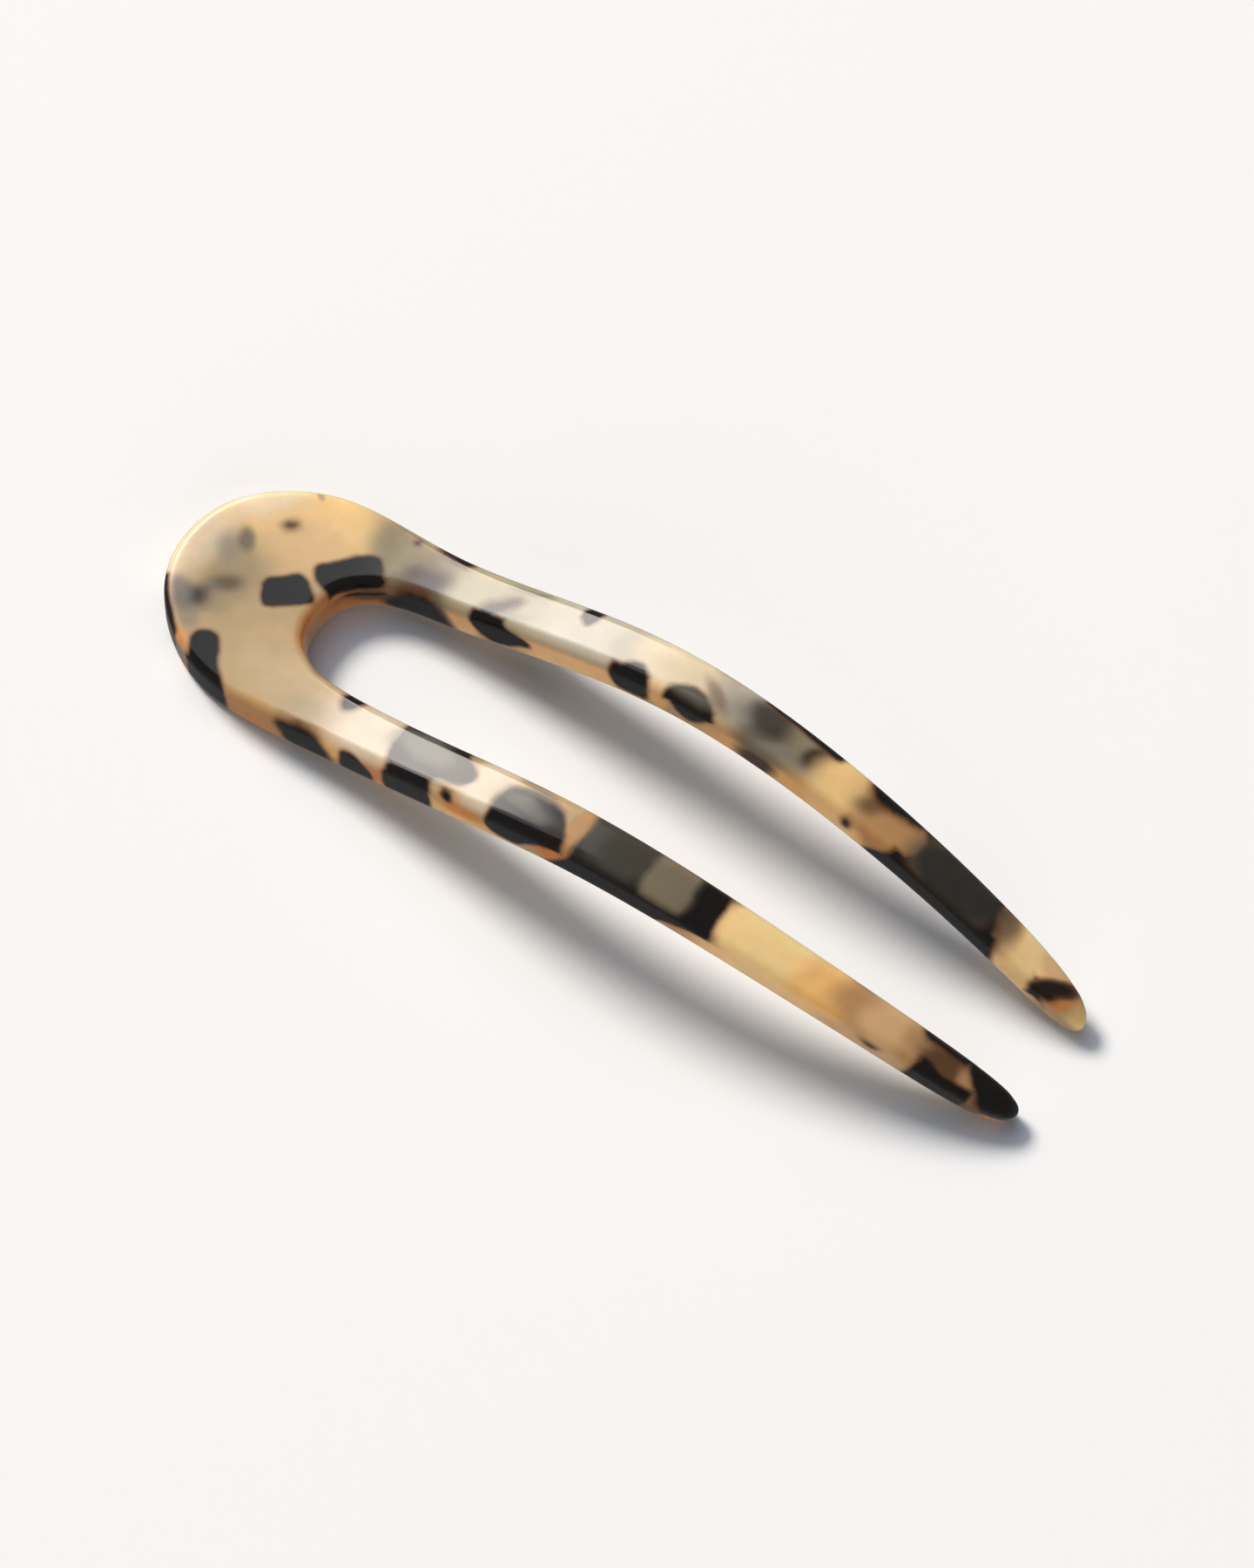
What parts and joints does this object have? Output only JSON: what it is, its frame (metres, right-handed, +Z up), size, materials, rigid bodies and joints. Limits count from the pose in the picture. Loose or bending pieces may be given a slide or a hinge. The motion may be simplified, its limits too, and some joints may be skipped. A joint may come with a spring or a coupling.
{
  "type": "french hair pin",
  "caption": "Curved U-shaped french hair pin in tortoiseshell-patterned acetate, with a broad crown and slim tapering prongs.",
  "frame": {"origin": "on the surface the pin lies on, halfway along its length and on its middle line", "axes": "+X from the crown to the tips, +Y across the prongs, +Z up from the surface"},
  "size_m": [0.1101, 0.0276, 0.0148],
  "materials": {
    "tortoiseshell_acetate": "polished, translucent cream and amber sheet with dark brown and black patches"
  },
  "bodies": {
    "root": {"hair_pin": "tortoiseshell_acetate"}
  },
  "joints": []
}
